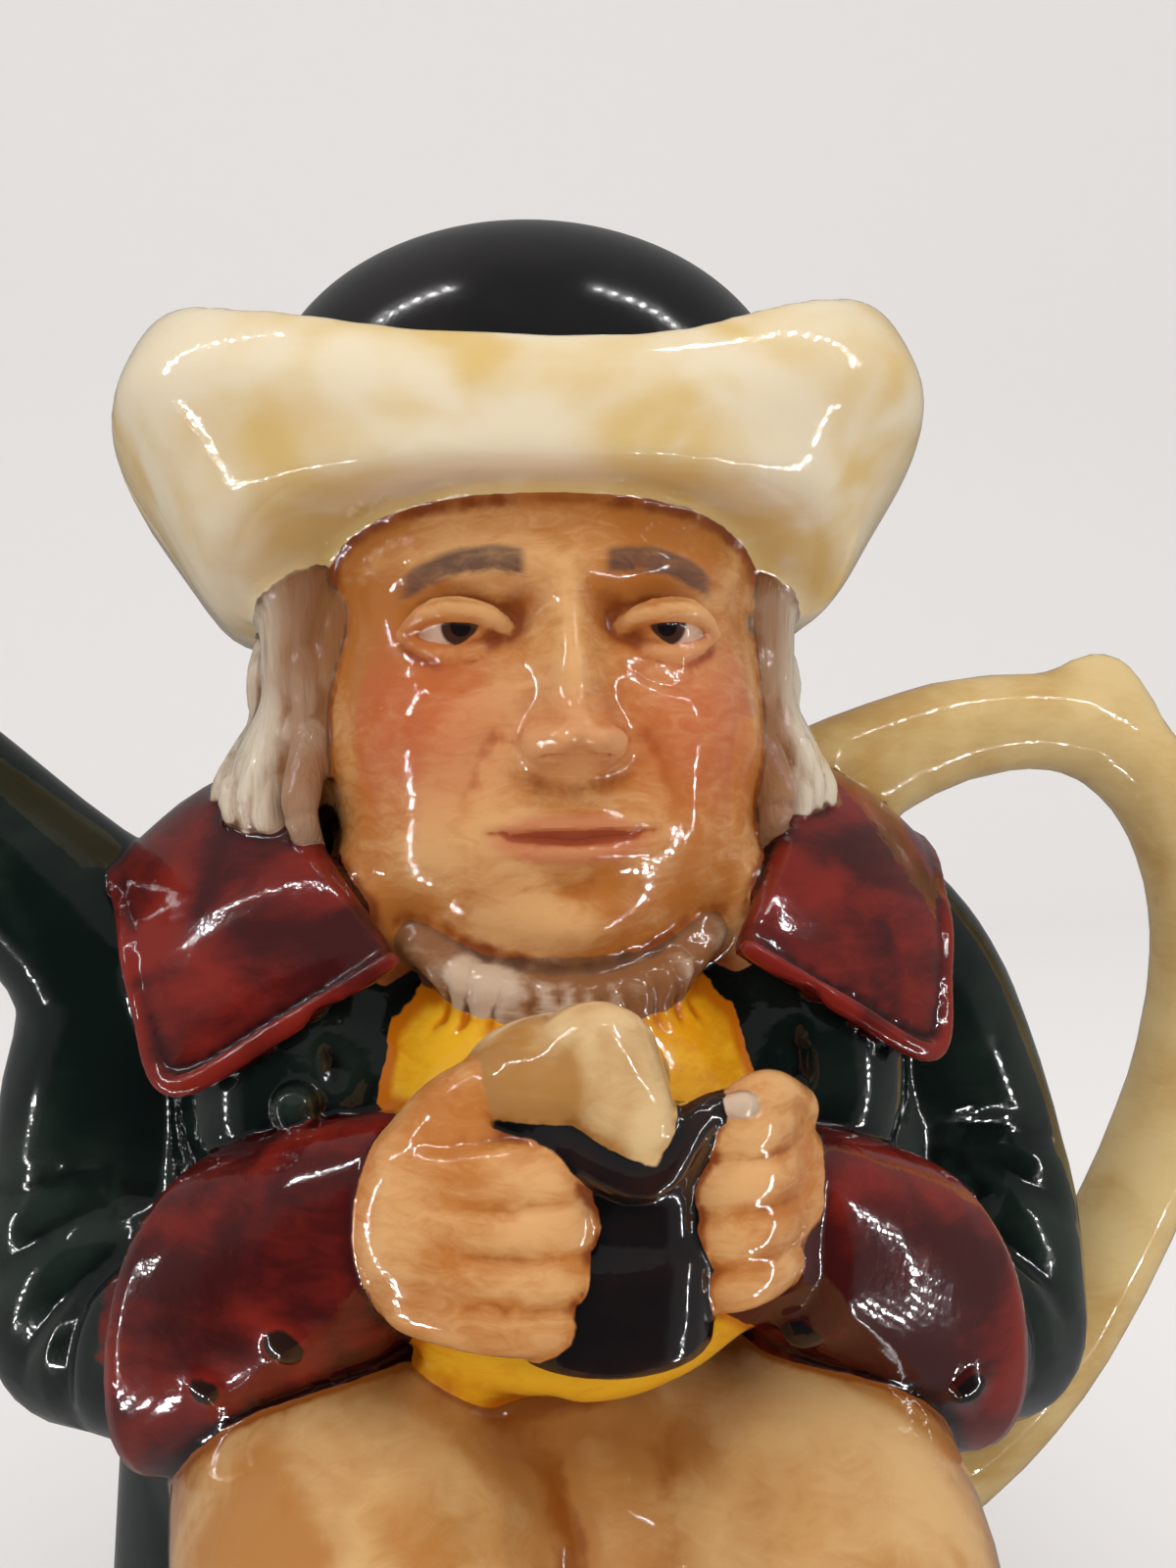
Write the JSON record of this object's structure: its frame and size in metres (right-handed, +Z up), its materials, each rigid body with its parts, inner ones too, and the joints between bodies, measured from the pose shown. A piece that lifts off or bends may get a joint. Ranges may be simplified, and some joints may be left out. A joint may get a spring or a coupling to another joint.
{
  "type": "toby teapot",
  "caption": "Glazed earthenware teapot shaped as a seated man in a cocked hat holding a foaming jug, with spout, loop handle and a lift-off domed lid.",
  "frame": {"origin": "middle of the flat underside, between the ends of the feet's plinth", "axes": "+Z up, the figure faces -Y, the spout points to -X and the handle stands out to +X"},
  "size_m": [0.2267, 0.1203, 0.2013],
  "materials": {
    "pot_glaze": "hand-painted colours under a clear gloss glaze",
    "lid_glaze": "black gloss glaze"
  },
  "bodies": {
    "root": {"teapot": "pot_glaze", "lid": "lid_glaze"}
  },
  "joints": []
}
